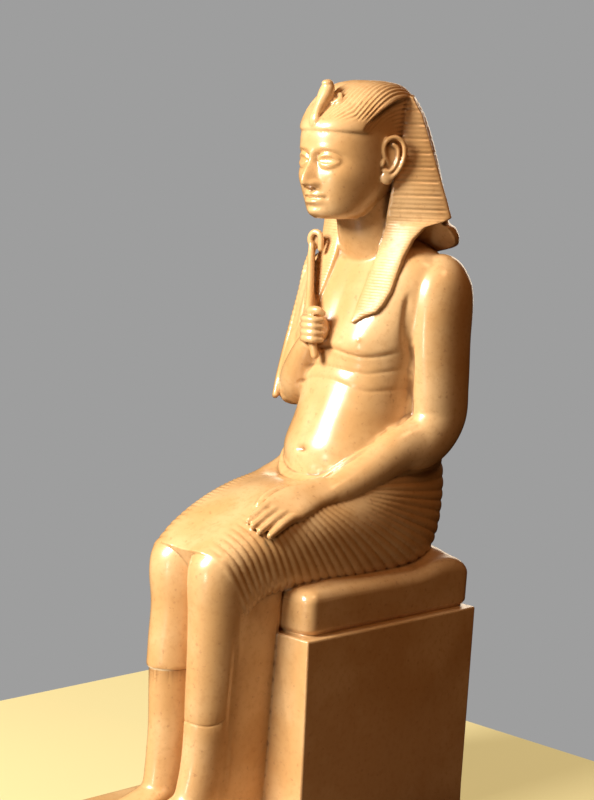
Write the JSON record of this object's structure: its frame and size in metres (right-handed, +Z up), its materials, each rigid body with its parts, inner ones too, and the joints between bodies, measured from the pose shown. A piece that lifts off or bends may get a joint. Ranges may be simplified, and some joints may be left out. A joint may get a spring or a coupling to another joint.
{
  "type": "egyptian pharaoh statue",
  "caption": "Seated king statue with striped headcloth, cobra, crook and flail and a pleated kilt, carved in one piece with its cushioned seat and plinth.",
  "frame": {"origin": "centre of the plinth's underside", "axes": "+Z up, the king faces -Y, its left side is +X"},
  "size_m": [0.1728, 0.3483, 0.6397],
  "materials": {
    "yellow_steatite": "polished"
  },
  "bodies": {
    "root": {"seated_king_statue": "yellow_steatite"}
  },
  "joints": []
}
